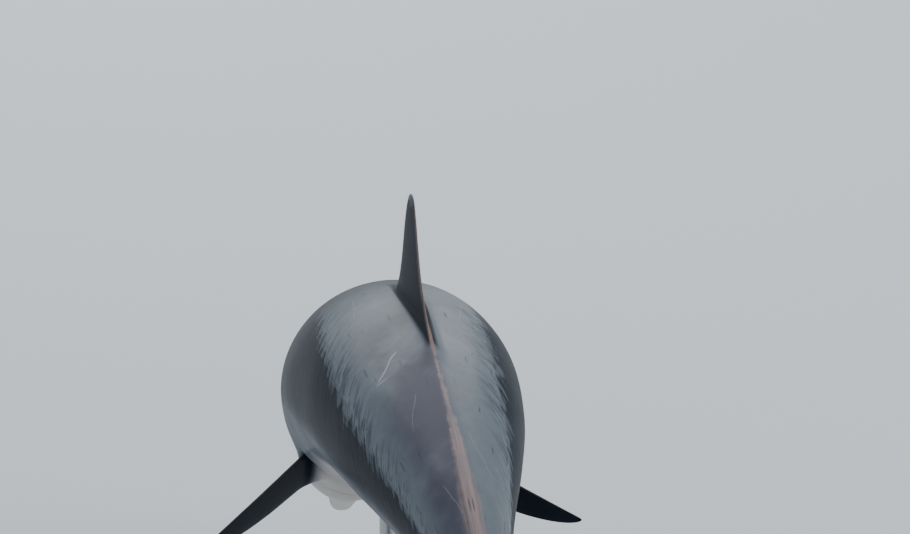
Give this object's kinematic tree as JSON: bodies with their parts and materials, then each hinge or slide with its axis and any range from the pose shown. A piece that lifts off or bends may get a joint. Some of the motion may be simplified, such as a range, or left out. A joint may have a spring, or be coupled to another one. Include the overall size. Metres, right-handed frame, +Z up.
{
  "type": "bottlenose dolphin display model",
  "caption": "Life-size bottlenose dolphin arched in a rolling dive, head and tail down, held over a flat base by upright steel rods.",
  "frame": {"origin": "bottom centre of the bounding box, on the floor under the stand", "axes": "+X the way the beak points, +Y the animal's left, +Z up"},
  "size_m": [2.6292, 0.9072, 1.487],
  "materials": {
    "back_skin": "smooth wet skin, dark grey over the back",
    "flank_skin": "smooth wet skin, mid grey",
    "fin_skin": "smooth wet skin, near black",
    "wet_eye": "wet gloss",
    "stand_board": "satin paint, charcoal",
    "stand_steel": "brushed"
  },
  "bodies": {
    "root": {"beak_upper": "flank_skin", "jaw_lower": "flank_skin", "head": "back_skin", "neck": "back_skin", "chest": "back_skin", "trunk": "back_skin", "loin": "back_skin", "tail_stock_front": "back_skin", "tail_stock_rear": "back_skin", "dorsal_fin": "fin_skin", "flipper_left": "fin_skin", "flipper_right": "fin_skin", "fluke_left": "fin_skin", "fluke_right": "fin_skin", "eye_left": "wet_eye", "eye_right": "wet_eye", "stand_base": "stand_board", "stand_flange_front": "stand_steel", "stand_flange_rear": "stand_steel", "stand_rod_front": "stand_steel", "stand_rod_rear": "stand_steel"}
  },
  "joints": []
}
